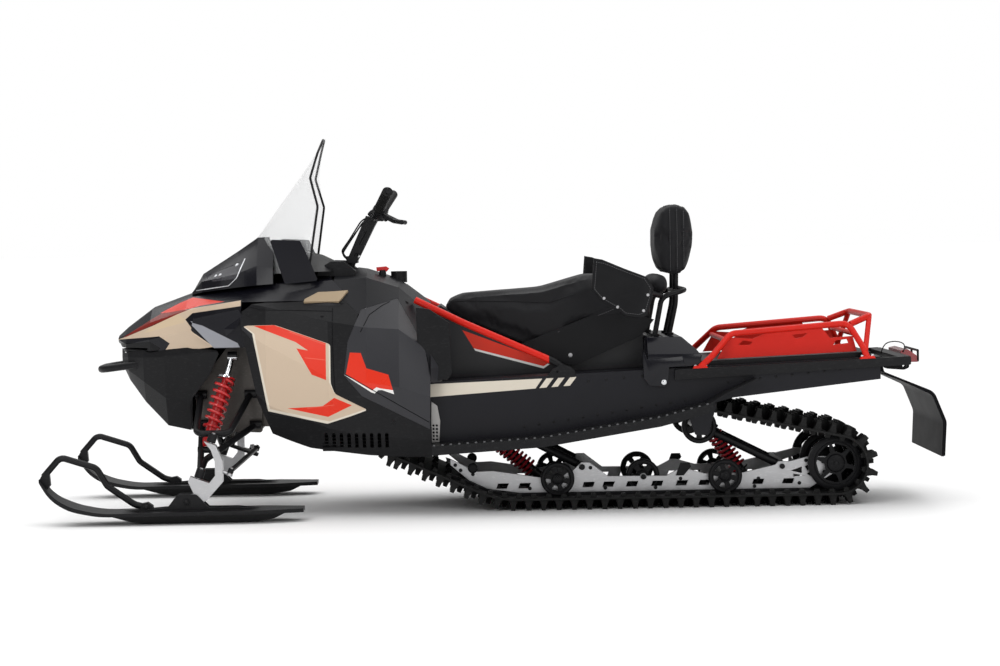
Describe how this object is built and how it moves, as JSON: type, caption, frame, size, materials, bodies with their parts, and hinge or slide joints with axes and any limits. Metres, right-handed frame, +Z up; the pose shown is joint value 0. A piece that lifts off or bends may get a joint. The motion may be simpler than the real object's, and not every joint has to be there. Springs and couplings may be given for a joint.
{
  "type": "snowmobile",
  "caption": "Two-up utility snowmobile with a wide lugged track, steered skis, faceted hood, windshield, stepped seat with backrest and a tube cargo rack.",
  "frame": {"origin": "on the floor below the middle of the machine's length and width", "axes": "+X to the rear, -Y to the rider's left, +Z up"},
  "size_m": [3.3493, 1.1, 1.408],
  "materials": {
    "rubber_black": "matt",
    "aluminium_mill": "brushed",
    "aluminium_grey": "powder coated",
    "steel_black": "powder coated",
    "steel_red": "powder coated",
    "steel_zinc": "zinc plated",
    "plastic_black": "satin",
    "plastic_gloss": "gloss",
    "plastic_grey": "satin",
    "plastic_beige": "gloss",
    "screen_smoke": "smoked clear sheet",
    "seat_vinyl": "grained vinyl",
    "lens_clear": "clear",
    "lamp_red": "clear red"
  },
  "bodies": {
    "chassis": {"track": "rubber_black", "slide_rails": "aluminium_mill", "slide_shoes": "plastic_black", "suspension_wheels": "plastic_black", "drive_axle": "plastic_black", "swing_arms": "steel_black", "tunnel": "aluminium_grey", "running_boards": "aluminium_grey", "cargo_deck": "aluminium_grey", "deck_side_rails": "steel_black", "cargo_rack": "steel_red", "snow_flap": "rubber_black", "tail_light": "lamp_red", "nose_cowl": "plastic_black", "nose_grille": "plastic_black", "side_panels": "plastic_beige", "flank_panels": "plastic_gloss", "knee_panels": "plastic_black", "tank_cover": "plastic_grey", "belly_pan": "plastic_black", "headlight_pod": "plastic_grey", "headlight_lenses": "lens_clear", "windshield": "screen_smoke", "wind_deflectors": "plastic_gloss", "dash_console": "plastic_black", "seat": "seat_vinyl", "seat_base": "plastic_black", "brace_tubes": "steel_red", "backrest_pad": "seat_vinyl", "backrest_frame": "steel_black", "tail_housing": "plastic_gloss", "passenger_shells": "plastic_black", "front_frame": "aluminium_grey", "wishbones": "steel_red", "dampers": "steel_black", "coil_springs": "steel_red", "front_bumper": "steel_black", "engine_block": "aluminium_mill", "fuel_cap": "plastic_black"},
    "handlebar": {"handlebar": "steel_black", "hand_grips": "rubber_black", "bar_controls": "plastic_black"},
    "pitman": {"steering_pitman": "steel_black"},
    "spindle_left": {"spindle_left": "aluminium_mill"},
    "spindle_right": {"spindle_right": "aluminium_mill"},
    "tie_rod_left": {"tie_rod_left": "steel_black"},
    "tie_rod_right": {"tie_rod_right": "steel_black"},
    "ski_left": {"ski_left": "plastic_black"},
    "ski_right": {"ski_right": "plastic_black"}
  },
  "joints": [
    {"name": "handlebar_steer", "type": "hinge", "parent": "chassis", "child": "handlebar", "pos_m": [-0.546, 0, 0.923], "axis": [0.342, 0, 0.9397], "range_deg": [-28, 28]},
    {"name": "pitman_turn", "type": "hinge", "parent": "chassis", "child": "pitman", "pos_m": [-1.02, 0, 0.262], "axis": [0.342, 0, 0.9397], "range_deg": [-28, 28]},
    {"name": "spindle_left_turn", "type": "hinge", "parent": "chassis", "child": "spindle_left", "pos_m": [-1.097, -0.465, 0.166], "axis": [0.342, 0, 0.9397], "range_deg": [-28, 28]},
    {"name": "spindle_right_turn", "type": "hinge", "parent": "chassis", "child": "spindle_right", "pos_m": [-1.097, 0.465, 0.166], "axis": [0.342, 0, 0.9397], "range_deg": [-28, 28]},
    {"name": "tie_rod_left_turn", "type": "hinge", "parent": "spindle_left", "child": "tie_rod_left", "pos_m": [-0.97807, -0.479, 0.18869], "axis": [0.342, 0, 0.9397], "range_deg": [-28, 28]},
    {"name": "tie_rod_right_turn", "type": "hinge", "parent": "spindle_right", "child": "tie_rod_right", "pos_m": [-0.97807, 0.479, 0.18869], "axis": [0.342, 0, 0.9397], "range_deg": [-28, 28]},
    {"name": "ski_left_pitch", "type": "hinge", "parent": "spindle_left", "child": "ski_left", "pos_m": [-1.14, -0.465, 0.078], "axis": [0, 1, 0], "range_deg": [-15, 15], "stiffness_Nm_per_rad": 60},
    {"name": "ski_right_pitch", "type": "hinge", "parent": "spindle_right", "child": "ski_right", "pos_m": [-1.14, 0.465, 0.078], "axis": [0, 1, 0], "range_deg": [-15, 15], "stiffness_Nm_per_rad": 60}
  ],
  "couplings": [
    {"joint": "pitman_turn", "follows": "handlebar_steer", "ratio": 1},
    {"joint": "spindle_left_turn", "follows": "handlebar_steer", "ratio": 1},
    {"joint": "spindle_right_turn", "follows": "handlebar_steer", "ratio": 1},
    {"joint": "tie_rod_left_turn", "follows": "handlebar_steer", "ratio": -1},
    {"joint": "tie_rod_right_turn", "follows": "handlebar_steer", "ratio": -1}
  ]
}
